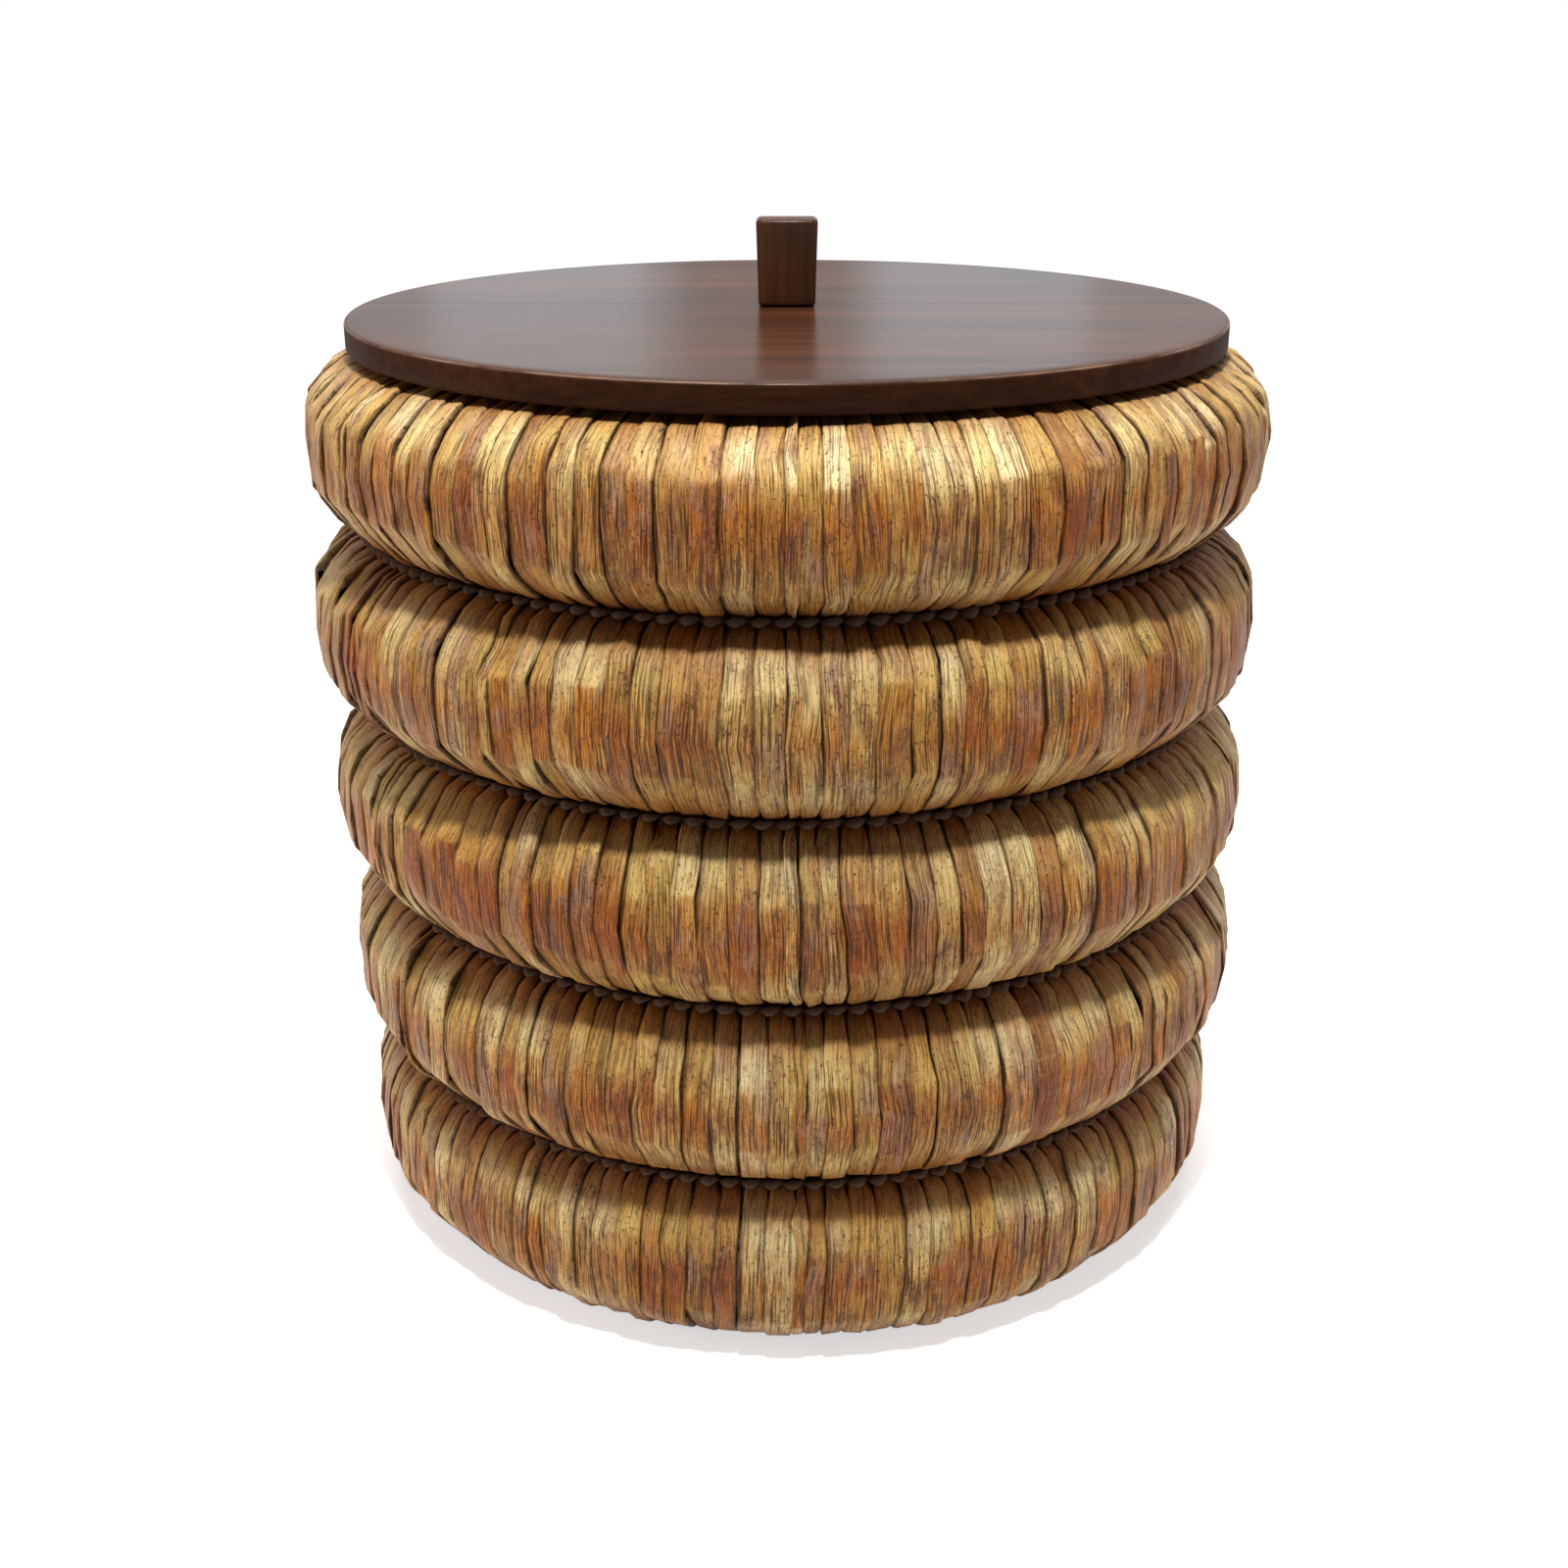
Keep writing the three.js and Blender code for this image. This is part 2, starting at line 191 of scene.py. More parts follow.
def rounded_block(name, node, foot, rounding, edge_rounding, material, foot_scale=1):
    """A block in a node's box, with its foot's middle at `foot`: a round-cornered rectangle carried upwards.

    It draws in by edge_rounding * (1 - sqrt(1 - t ** 2)) over a quarter circle at the foot and at the top.
    Its width changes evenly from foot_scale of the full one at the foot.
    """
    low, high = boxes[node]
    width, depth, height = high - low
    corner_steps = 6
    quadrant = np.arange(4 * corner_steps) // corner_steps
    turn = quadrant * np.pi / 2 + np.tile(np.linspace(0, np.pi / 2, corner_steps), 4)
    centre_x = np.array([1, -1, -1, 1])[quadrant] * (width / 2 - rounding)
    centre_y = np.array([1, 1, -1, -1])[quadrant] * (depth / 2 - rounding)
    quarter = np.linspace(0, np.pi / 2, 6)
    inset = edge_rounding * (1 - np.sin(quarter))
    rise = edge_rounding * (1 - np.cos(quarter))
    body_rise = np.linspace(edge_rounding, height - edge_rounding, 8)[1:-1]
    level = np.concatenate([rise, body_rise, height - rise[::-1]])[:, None]
    draw_in = np.concatenate([inset, np.zeros(len(body_rise)), inset[::-1]])[:, None]
    reach_x = centre_x + np.cos(turn) * (rounding - draw_in * 0.999)
    reach_y = centre_y + np.sin(turn) * (rounding - draw_in * 0.999)
    widening = foot_scale + (1 - foot_scale) * level / height
    faces = tube_faces(1, len(level), 4 * corner_steps)
    return new_piece(name, stacked(reach_x * widening, reach_y, level) + foot, faces, material)


def foot_place(node):
    """The middle of the foot of a node's box."""
    low, high = boxes[node]
    return np.array([(low.x + high.x) / 2, (low.y + high.y) / 2, low.z])


def enter(piece, body, slot, *nodes):
    """Enters a piece: the body it moves with and the nodes it stands for. `slot`, the slot of its finish, is
    not used.
    """
    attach(piece, body)
    if nodes:
        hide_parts(*nodes)


# Strips of the wall


def drifting(rng, count, span):
    """White noise round a ring, convolved with a bell curve of width `span`, with a spread of one."""
    steps = np.minimum(np.arange(count), count - np.arange(count))
    bell = np.exp(-((steps / span) ** 2))
    values = np.real(np.fft.ifft(np.fft.fft(rng.normal(size=count)) * np.fft.fft(bell)))
    return values / values.std()


def waist_height(waist):
    """The height where band `waist` meets the next one up, counted from 1 at the floor."""
    below = boxes[f"woven_band_{waist}"][1].z
    above = boxes[f"woven_band_{waist + 1}"][0].z
    return (below + above) / 2


def leaning(points):
    """The points moved sideways: by band_offsets at the bands' middles, 0 at the rim, evenly in between."""
    middles = [band_middle(band) for band in range(1, band_count + 1)]
    levels = [*middles, boxes[f"woven_band_{band_count}"][1].z]
    shift = np.interp(points[..., 2], levels, [*band_offsets, 0])
    return points + shift[..., None] * [1, 0, 0]


def band_middle(band):
    """The height halfway between a band's two waists. The lowest and the highest band have the same pitch."""
    pitch = waist_height(2) - waist_height(1)
    return waist_height(1) + pitch * (band - 1.5)


def arched(one, other, arch, kinds):
    """Corners at a third and two thirds of the parabola that arches out between two others."""
    start = np.array(one[:2])
    along = np.array(other[:2]) - start
    outward = np.array([along[1], -along[0]]) / np.hypot(*along)
    return [
        (*(start + along * share + outward * arch * 4 * share * (1 - share)), kind)
        for share, kind in zip((1 / 3, 2 / 3), kinds)
    ]


def path_corners(band, arching=1.0):
    """Corners of a strip's path over one band, upwards, as (radius, height, kind).

    It runs from waist to waist over two hoops and arches out in between, by the full heights times
    `arching`. In the lowest and the highest band one end is in the roll, which turns back inside.
    """
    low, high = boxes[f"woven_band_{band}"]
    middle = band_middle(band)
    hoop_radius = high.x - hoop_drop
    low_hoop = (hoop_radius, middle - hoop_spread / 2, "hoop")
    high_hoop = (hoop_radius, middle + hoop_spread / 2, "hoop")
    floor, rim = low.z + roll_cover, high.z - roll_cover
    foot_roll = [
        (roll_inside, floor + roll_depth, "end"),
        (roll_inside, floor, "roll"),
        (roll_outside, floor, "roll"),
    ]
    rim_roll = [
        (roll_outside, rim, "roll"),
        (roll_inside, rim, "roll"),
        (roll_inside, rim - roll_depth, "end"),
    ]
    start = foot_roll if band == 1 else [(waist_radius, waist_height(band - 1) + waist_gap, "end")]
    finish = rim_roll if band == band_count else [(waist_radius, waist_height(band) - waist_gap, "end")]
    lower = arched(start[-1], low_hoop, lower_arch * arching, ("near end", "slope"))
    upper = arched(high_hoop, finish[0], upper_arch * arching, ("slope", "near end"))
    middle_point = (hoop_radius + belly * arching, middle, "belly")
    return [*start, *lower, low_hoop, middle_point, high_hoop, *upper, *finish]


def bent(corners, bends, reach):
    """Paths with some corners rounded, as (path, station, quantity), and the station of each corner.

    A corner C in `bends` becomes A, A/4 + C/2 + B/4 and B, where A and B lie on the lines to its neighbours,
    `reach` away, so that the middle one is on the quadratic curve from A over C to B. Radius and height are
    the first two quantities.
    """

    def towards(index, other):
        here, there = corners[:, index], corners[:, other]
        length = np.hypot(*(there - here)[:, :2].T)
        return here + (there - here) * np.minimum(reach[:, index] / length, furthest_reach)[:, None]

    stations, corner_stations = [], []
    for index in range(corners.shape[1]):
        here = corners[:, index]
        around = [here]
        if bends[index]:
            before, after = towards(index, index - 1), towards(index, index + 1)
            around = [before, before / 4 + here / 2 + after / 4, after]
        corner_stations.append(len(stations) + len(around) // 2)
        stations += around
    return np.stack(stations, axis=1), corner_stations


def strip_edges(rng, count):
    """Bearings between neighbouring strips, whose widths differ by a sixth. One in ten is half as wide."""
    widths = np.exp(rng.normal(0, 0.17, count)) * np.where(rng.random(count) < 0.1, 0.55, 1)
    return np.cumsum(widths) / widths.sum() * full_turn


def by_kind(kinds, values, otherwise=0.0):
    """One value for each corner, by its kind."""
    return np.array([values.get(kind, otherwise) for kind in kinds])


def outward_normals(path):
    """The paths' unit normals in (radius, height): their direction, turned a quarter to the outside."""
    slope = np.gradient(path[..., :2], axis=1)
    slope /= np.hypot(slope[..., 0], slope[..., 1])[..., None]
    return stacked(slope[..., 1], -slope[..., 0])


def standing_out(path, neighbour):
    """How far each path lies outside that of the strip `neighbour` places before it, along its normal."""
    apart = path[..., :2] - np.roll(path[..., :2], neighbour, axis=0)
    return (apart * outward_normals(path)).sum(axis=-1)


def section_points(path, across, rise, tilt):
    """Points of each strip's section at each station, as (strip, station, point, xyz), and their place.

    `path` holds radius, height, left and right bearing, thickness and the share of the tilt. A point lies
    thickness * rise off the path along its outward normal, plus the line from the left edge's tilt to the
    right one's. The place is (across, along) in mm.
    """
    radius, height, left, right, thickness, share = np.moveaxis(path, -1, 0)
    normal = outward_normals(path)[:, :, None]
    middle = (across + 1) / 2
    off = tilt[:, :1, None] * (1 - middle) + tilt[:, 1:, None] * middle
    off = off * share[..., None] + thickness[..., None] * rise
    points = on_bearing(
        left[..., None] + (right - left)[..., None] * middle,
        radius[..., None] + normal[..., 0] * off,
        height[..., None] + normal[..., 1] * off,
    )
    step = np.hypot(np.diff(radius, axis=1), np.diff(height, axis=1))
    along = np.concatenate([np.zeros((len(step), 1)), np.cumsum(step, axis=1)], axis=1)
    width = (right - left) * radius
    return points, stacked(width[..., None] * middle, along[..., None]) / mm


def corner_arrays(corners, count):
    """The kinds of the corners, and their radii and heights, repeated for each strip."""
    kinds = [kind for _, _, kind in corners]
    radius, height = (np.tile([corner[axis] for corner in corners], (count, 1)) for axis in (0, 1))
    return kinds, radius, height


def shake_loose(rng, kinds, radius, height):
    """Moves each strip in or out, as a whole and at each corner, and its belly and slopes up or down."""
    count, _ = radius.shape
    looseness = by_kind(kinds, {"hoop": 0.4, "belly": 0.4, "slope": 0.5, "near end": 0.3}) * mm
    loose = 0.8 * rng.normal(size=(count, 1)) + 0.6 * rng.normal(size=radius.shape)
    radius += looseness * np.clip(loose, -1.5, 1.5)
    slack = by_kind(kinds, {"belly": 1.0, "slope": 0.7}) * mm
    height += slack * rng.normal(size=radius.shape)


def bend_stiffly(rng, hoop_corners, radius, height):
    """Lets each strip bend before its hoops or after them.

    Stiff ones stay straight between their bends, so that they bend more sharply and stand out further there.
    """
    count, _ = radius.shape
    stiffness = np.stack([drifting(rng, count, 4) for _ in range(3)]) + 0.7 * rng.normal(size=(3, count))
    at_belly, at_low, at_high = np.clip(0.3 + 0.25 * stiffness, 0, 0.9)
    low_hoop, high_hoop = hoop_corners
    radius[:, low_hoop + 1] -= belly * at_belly
    for hoop, away, stiff in ((low_hoop, -1, at_low), (high_hoop, 1, at_high)):
        late = 2.6 * mm * rng.normal(size=count) + 1.8 * mm * drifting(rng, count, 7)
        late = np.clip(late, earliest_bend, latest_bend)
        height[:, hoop] += away * late
        height[:, hoop + away] += away * late / 2
        radius[:, hoop] -= np.where(late < 0, 0.28, 0.12) * late
        radius[:, hoop] += 0.25 * belly * at_belly + 0.5 * mm * stiff
        for value in (radius, height):
            straight = (value[:, hoop] + value[:, hoop + 2 * away]) / 2
            value[:, hoop + away] += stiff * (straight - value[:, hoop + away])


def strip_sides(rng, kinds, edges, radius):
    """Each strip's left and right bearing at each corner.

    The line between two neighbours wanders together on both and leans over a stretch of several strips.
    Their lap goes with the kind of corner and differs from strip to strip, and a few leave a gap.
    """
    count, _ = radius.shape
    shape = radius.shape
    freedom = by_kind(kinds, {"hoop": 1.0, "belly": 0.7, "slope": 0.9, "near end": 0.5}) * mm
    lean = drifting(rng, count, 5)[:, None] * np.linspace(-1, 1, len(kinds))
    wander = freedom * (1.7 * lean + 0.8 * rng.normal(size=shape) + drifting(rng, count, 3)[:, None])
    laps = {"hoop": 0.9, "belly": 0.7, "slope": 0.9, "near end": -0.2, "roll": -1.0, "end": -2.4}
    looser = by_kind(kinds, {"hoop": 1, "belly": 1, "slope": 1, "near end": 0.4, "roll": 0.3})
    lap = by_kind(kinds, laps) + looser * 0.6 * rng.normal(size=(count, 1))
    lap += looser * 0.3 * rng.normal(size=shape)
    lap -= looser * 1.4 * (rng.random((count, 1)) < 0.07)
    lap -= by_kind(kinds, {"hoop": 1.3}) * (rng.random(shape) < 0.15)
    half_lap = lap / 2 * mm
    right = edges[:, None] + (wander + half_lap) / radius
    left = np.roll(edges[:, None] + (wander - half_lap) / radius, 1, axis=0)
    left[0] -= full_turn
    return left, right


def mark_front_and_depth(piece, band, path, hoop_stations):
    """Stores strip_part and strip_depth, which plant_strip explains, on the outer strips of a band.
    strip_depth and two parts of strip_part lead painted shade.
    """
    low_bend, high_bend = hoop_stations
    bend = np.zeros(path.shape[1])
    bend[hoop_stations] = 1
    # front is highest on the band's upright face, where the strips are painted darker and redder, partly as
    # shade
    front = np.zeros(path.shape[1])
    front[low_bend - 2 : low_bend + 3] = [0.35, 0.6, 0.7, 0.85, 1]
    front[high_bend - 1 : high_bend + 3] = [0.7, 0.5, 0.3, 0.05]
    # seam is 1 at a strip's edges, which are painted dark as shade where the strips meet
    seam = np.array([1, 0.6, 0, 0, 0.6, 1])
    parts = stacked(seam, front[:, None], bend[:, None])
    set_point_values(piece, "strip_part", "FLOAT_VECTOR", np.broadcast_to(parts, (len(path), *parts.shape)))
    widest = boxes[f"woven_band_{band}"][1].x
    # strip_depth leads painted shade: it grows towards the waists, more on some bands, and only a share of it
    # is left at the rim
    depth = np.clip((widest - path[:, :, 0]) / (widest - waist_radius), 0, 1) ** 1.3
    depth = np.minimum(depth * waist_shade[band - 1], 1)
    if band == band_count:
        depth[:, high_bend:] *= rim_shade
    set_point_values(piece, "strip_depth", "FLOAT", np.repeat(depth, len(seam)))


def outer_strips(band, edges, material):
    """The strips that show on one band: flattened stems bent over its hoops, drawn narrow at the waists.

    A stem's section is flat on top with narrow round shoulders and deep sides: its points lie -1.15, 0, 0.34,
    0.34, 0 and -1.15 times its thickness off the path. Where it stands out over a neighbour, that side
    reaches half a thickness below the neighbour's path.
    """
    rng = np.random.default_rng(100 + band)
    count = len(edges)
    kinds, radius, height = corner_arrays(path_corners(band), count)
    hoop_corners = [index for index, kind in enumerate(kinds) if kind == "hoop"]
    shake_loose(rng, kinds, radius, height)
    bend_stiffly(rng, hoop_corners, radius, height)
    left, right = strip_sides(rng, kinds, edges, radius)

    over = np.where(rng.random(count) < 0.6, 1, -1) * shingle * rng.uniform(0.6, 1.5, count)
    tilt = np.stack([-np.roll(over, 1), over], axis=1) + 0.25 * mm * rng.normal(size=(count, 2))
    cupping = by_kind(kinds, {"end": 1.7, "near end": 1.35, "roll": 1.2}, 1.0)
    thickness = strip_thickness * cupping * rng.uniform(0.75, 1.3, (count, 1))
    share = by_kind(kinds, {"roll": 0.5, "end": 0.5}, 1.0)
    bends = [kind in ("hoop", "roll") for kind in kinds]
    reach = by_kind(kinds, {"hoop": 2.3, "roll": 6.0}) * mm * np.exp(rng.normal(0, 0.8, radius.shape))
    reach[:, hoop_corners[1]] *= rounder_above
    path, corner_stations = bent(stacked(radius, height, left, right, thickness, share), bends, reach)

    shoulder = rng.uniform(0.58, 0.86, (count, 2))
    side = 0.96
    across = stacked(-1, -side, -shoulder[:, 0], shoulder[:, 1], side, 1)[:, None]
    rise = np.array([-1.15, 0, 0.34, 0.34, 0, -1.15])
    ridge = np.where(rise > 0.2, 0.2, 0) * rng.normal(size=(count, 1, len(rise)))
    rise_everywhere = rise + ridge + np.zeros((*path.shape[:2], 1))
    for edge, neighbour in ((0, 1), (-1, -1)):
        down = standing_out(path, neighbour) / path[..., 4] + 0.5
        rise_everywhere[..., edge] = -np.clip(down, -rise[edge], deepest_side)
    start = rng.uniform(0, longest_start, count)
    number = strip_count * band
    section = (across, rise_everywhere)
    piece = strip_piece(f"outer_strips_{band}", path, section, tilt, start, number, material, 80)
    mark_front_and_depth(piece, band, path, [corner_stations[corner] for corner in hoop_corners])
    enter(piece, "basket", "plant_strip", f"woven_band_{band}")


def strip_piece(name, path, section, tilt, start, first_number, material, sharp_angle):
    """A piece of strips. Each has a number, from `first_number`, and its own start along the pattern.

    `section` is (across, rise). strip_place holds (across in mm, along in mm, strip number).
    """
    across, rise = section
    points, place = section_points(path, across, rise, tilt)
    faces = tube_faces(*path.shape[:2], across.shape[-1])
    piece = new_piece(name, leaning(points), faces, material, sharp_angle)
    number = np.arange(len(place)) + first_number
    values = stacked(place[..., 0], place[..., 1] + start[:, None, None], number[:, None, None])
    set_point_values(piece, "strip_place", "FLOAT_VECTOR", values)
    return piece


def inner_strips(band, material):
    """The second layer of strips, which lies behind the first and shows inside and through its gaps.

    Its ends run on past the waists and end behind the wire, which closes the wall there.
    """
    rng = np.random.default_rng(200 + band)
    corners = [corner for corner in path_corners(band, arching=0.1) if corner[0] > roll_inside]
    count = inner_strip_count
    kinds, radius, height = corner_arrays(corners, count)
    for end, neighbour in ((0, 1), (-1, -2)):
        if kinds[end] == "end":
            onward = np.array(corners[end][:2]) - np.array(corners[neighbour][:2])
            onward *= inner_overrun / np.hypot(*onward)
            radius[:, end] += onward[0]
            height[:, end] += onward[1]
    edges = strip_edges(rng, count)[:, None] + 1.2 * mm * rng.normal(size=radius.shape) / radius
    lap = inner_lap / radius
    left = np.roll(edges - lap, 1, axis=0)
    left[0] -= full_turn
    over = np.where(rng.random(count) < 0.5, 1, -1) * 0.3 * mm
    tilt = np.stack([-np.roll(over, 1), over], axis=1)
    bends = [kind == "hoop" for kind in kinds]
    path = stacked(radius, height, left, edges + lap, inner_thickness, 1.0)
    path, _ = bent(path, bends, np.full(radius.shape, inner_reach))
    across = np.array([-1, -0.9, 0.9, 1])
    rise = np.array([-1, 0, 0, -1]) - inner_depth / inner_thickness
    start = rng.uniform(0, longest_start, count)
    number = first_inner_number + strip_count * band
    piece = strip_piece(f"inner_strips_{band}", path, (across, rise), tilt, start, number, material, 60)
    enter(piece, "basket", "plant_strip")


# Cords, wires and bars


def twined_ring(name, node, thickness, material, outward=1):
    """Two strands twisted round a ring, which cross once on every strip.

    Strand k winds at the phase turns * bearing + k * pi. It lies off the ring's line by outward * thickness *
    (0.8 * cos(phase) - 0.35) and above it by 0.14 * thickness * sin(phase), and it swells to a bead where it
    faces outward.
    """
    radius, height = ring_line(node, thickness)
    turns = strip_count // strands
    rng = np.random.default_rng(turns)
    steps, sides = turns * 14, 8
    bearing = round_angles(steps)
    wobble = 0.3 * mm * drifting(rng, steps, 20)
    swelling = 1 + 0.1 * drifting(rng, steps, 10)
    turn = round_angles(sides)
    strand = np.arange(strands)[:, None]
    phase = turns * bearing + strand * np.pi
    showing = 0.5 + 0.5 * np.cos(phase)
    strand_radius = thickness * (0.2 + 0.56 * showing**3) * swelling
    middle_radius = radius + outward * thickness * (0.8 * np.cos(phase) - 0.35) + wobble
    middle_height = height + 0.14 * thickness * np.sin(phase)
    points = on_bearing(
        bearing[:, None],
        middle_radius[..., None] + strand_radius[..., None] * np.cos(turn),
        middle_height[..., None] - strand_radius[..., None] * np.sin(turn),
    )
    place = stacked(turn * thickness / mm, (bearing * radius / mm)[:, None], strand[..., None])
    piece = new_piece(name, leaning(points), loop_faces(strands, steps, sides), material)
    set_point_values(piece, "strip_place", "FLOAT_VECTOR", place)
    # bead leads the painted shade between the beads
    set_point_values(piece, "bead", "FLOAT", np.repeat(showing**2, sides))
    enter(piece, "basket", "fibre_cord", node)


def ring_line(node, thickness):
    """The radius and height of the line that a ring-shaped node of this thickness winds round."""
    low, high = boxes[node]
    return high.x - thickness, (low.z + high.z) / 2


def cords(material):
    """The twined cords at the waists, and the cords that bind the strip ends in the rim and the foot."""
    for waist in range(1, band_count):
        twined_ring(f"waist_twining_{waist}", f"twined_cord_{waist}", cord_radius, material)
    for place in ("foot", "rim"):
        twined_ring(f"{place}_twining", f"{place}_binding", binding_radius, material, outward=-1)


def hoops(material):
    """Round wire in place of each hoop of the frame: a circle carried round the hoop's line."""
    nodes = [f"{place}_hoop_{band}" for band in range(1, band_count + 1) for place in ("low", "high")]
    nodes += [f"waist_hoop_{waist}" for waist in range(1, band_count)]
    nodes += ["foot_hoop", "rim_hoop"]
    steps, sides = 192, 12
    bearing = round_angles(steps)[:, None]
    turn = round_angles(sides)
    for node in nodes:
        radius, height = ring_line(node, wire_radius)
        points = on_bearing(bearing, radius + wire_radius * np.cos(turn), height - wire_radius * np.sin(turn))
        piece = new_piece(f"wire_{node}", leaning(points), loop_faces(1, steps, sides), material)
        enter(piece, "basket", "frame_steel", node)


def rib_corners():
    """Corners of a rib's middle line as (radius, height), from the foot hoop to the rim hoop.

    It passes inside each hoop by both half thicknesses and the gap, and by half as much again at the waists.
    """
    inside_hoop = wire_radius + wire_gap + rib_bar / 2
    inside_waist = 1.5 * inside_hoop
    corners = [np.array(ring_line("foot_hoop", wire_radius))]
    for band in range(1, band_count + 1):
        for place in ("low", "high"):
            radius, height = ring_line(f"{place}_hoop_{band}", wire_radius)
            corners.append(np.array([radius - inside_hoop, height]))
        if band < band_count:
            radius, height = ring_line(f"waist_hoop_{band}", wire_radius)
            corners.append(np.array([radius - inside_waist, height]))
    corners.append(np.array(ring_line("rim_hoop", wire_radius)))
    for end, neighbour in ((0, 1), (-1, -2)):
        along = corners[neighbour] - corners[end]
        corners[end] = corners[end] + along / np.hypot(*along) * (wire_radius + wire_gap)
    return np.array(corners)


def ribs(material):
    """Upright square bars with round edges, bent in the plane of their bearing.

    A square whose corners are cut by quarter circles is carried along the middle line, with one side along
    the bearing and the other along the line's normal.
    """
    corners = rib_corners()[None]
    bends = [False, *[True] * (corners.shape[1] - 2), False]
    line, _ = bent(corners, bends, np.full(corners.shape[:2], rib_reach))
    outward = outward_normals(line)[0]
    line = line[0]
    turn = round_angles(16) + full_turn / 32
    circle = np.stack([np.cos(turn), np.sin(turn)])
    off = bar_rounding * circle + (rib_bar / 2 - bar_rounding) * np.sign(circle)
    radius = line[:, :1] + outward[:, :1] * off[0]
    height = line[:, 1:] + outward[:, 1:] * off[0]
    faces = tube_faces(1, len(line), len(turn))
    for number in range(1, rib_count + 1):
        # The part's bearings count from +X towards +Y, and this script's from -Y towards +X.
        bearing = rib_start + full_turn * (number - 1) / rib_count + np.pi / 2
        sideways = np.array([np.cos(bearing), np.sin(bearing), 0])
        points = on_bearing(bearing, radius, height) + off[1][:, None] * sideways
        piece = new_piece(f"rib_{number}", leaning(points), faces, material, sharp_angle=60)
        enter(piece, "basket", "frame_steel", f"frame_rib_{number}")


# Base


def base_bars(material):
    """Flat bars with round edges that carry the mat."""
    for place in ("front", "middle", "rear"):
        node = f"base_bar_{place}"
        foot = leaning(foot_place(node))
        piece = rounded_block(f"flat_bar_{place}", node, foot, 2 * mm, bar_rounding, material)
        enter(piece, "basket", "frame_steel", node)


def base_mat(material):
    """The woven base: flat strips both ways, each over and under those that it crosses.

    A strip's height is weave * cos(pi * place / pitch), with the sign changing from strip to strip. Its ends
    follow the round of the wall, and those that would meet a rib stop before it.
    """
    rng = np.random.default_rng(31)
    low, high = boxes["base_mat"]
    level = (low.z + high.z) / 2
    pitch = 14 * mm
    width = 13.2 * mm
    weave = 1.0 * mm
    thickness = 1.5 * mm
    wall_radius = high.x - 3 * mm
    before_rib = 215.5 * mm
    rib_clearance = 12 * mm
    reach = int(wall_radius / pitch)
    lanes = np.arange(-reach, reach + 1)
    rib_bearings = rib_start + round_angles(rib_count)
    to_rib = np.stack([np.cos(rib_bearings), np.sin(rib_bearings)]) * wall_radius
    stations = 65
    across = np.array([-1, -0.85, 0.85, 1])
    drop = np.where(np.abs(across) == 1, thickness / 2, -thickness / 2)
    all_points, places = [], []
    for way in (0, 1):
        side = lanes * pitch + rng.normal(0, 0.25 * mm, len(lanes))
        full = np.sqrt(wall_radius**2 - side**2)
        short = np.sqrt(np.maximum(before_rib**2 - side**2, 0))
        ends = []
        for sign in (-1, 1):
            spot = np.stack([sign * full, side] if way == 0 else [-side, sign * full], axis=1)
            distance = np.hypot(spot[:, :1] - to_rib[0], spot[:, 1:] - to_rib[1]).min(axis=1)
            ends.append(sign * np.where(distance < rib_clearance, short, full))
        along = ends[0][:, None] + (ends[1] - ends[0])[:, None] * np.linspace(0, 1, stations)
        sign = (-1.0) ** (lanes + way)
        rise = weave * sign[:, None] * np.cos(np.pi * along / pitch)
        offset = side[:, None, None] + across * width / 2
        height = level + rise[..., None] - drop
        along = along[..., None]
        all_points.append(stacked(along, offset, height) if way == 0 else stacked(-offset, along, height))
        number = (lanes + 4000 + 100 * way)[:, None, None]
        places.append(stacked(across * width / 2 / mm, along / mm, number))
    points = np.concatenate(all_points)[..., ::-1, :]
    faces = tube_faces(len(points), stations, len(across))
    piece = new_piece("woven_base", leaning(points), faces, material, sharp_angle=60)
    set_point_values(piece, "strip_place", "FLOAT_VECTOR", np.concatenate(places)[..., ::-1, :])
    enter(piece, "basket", "plant_strip", "base_mat")


# Lid


def lid_disc():
    """The lid before it is parted: a profile of flat faces and round edges turned round +Z.

    The rim's radius wavers by a fraction of a millimetre. The result is (points, faces, wear), where wear is
    1 in the middle of the upper arris, which is painted paler, partly as wear and partly as a highlight,
    -1 on the edge, whose end grain is darker, and 0 elsewhere.
    """
    low = boxes["lid_front_board"][0].z
    thickness = boxes["lid_front_board"][1].z - low
    quarter = np.linspace(0, np.pi / 2, 5)
    inner_rings = np.array([0.2, 0.45, 0.7, 0.88, 0.96]) * lid_radius
    edge = lid_radius - lid_arris
    bottom = stacked(edge + lid_arris * np.sin(quarter), lid_arris - lid_arris * np.cos(quarter))
    top = bottom[::-1] * [1, -1] + [0, thickness]
    flat_bottom = stacked(inner_rings, 0)
    flat_top = flat_bottom[::-1] + [0, thickness]
    profile = np.concatenate([flat_bottom, bottom, top, flat_top])
    bearing = round_angles(240)
    waver = 1 + 0.0009 * np.sin(3 * bearing + 1) + 0.0006 * np.sin(7 * bearing + 2)
    points = on_bearing(bearing, profile[:, :1] * waver, low + profile[:, 1:])
    edge_start = len(flat_bottom) + len(bottom)
    wear = np.zeros(points.shape[:2])
    wear[edge_start - 2 : edge_start + 1] = -1
    wear[edge_start + len(quarter) // 2] = 1
    return points, tube_faces(1, *wear.shape), wear


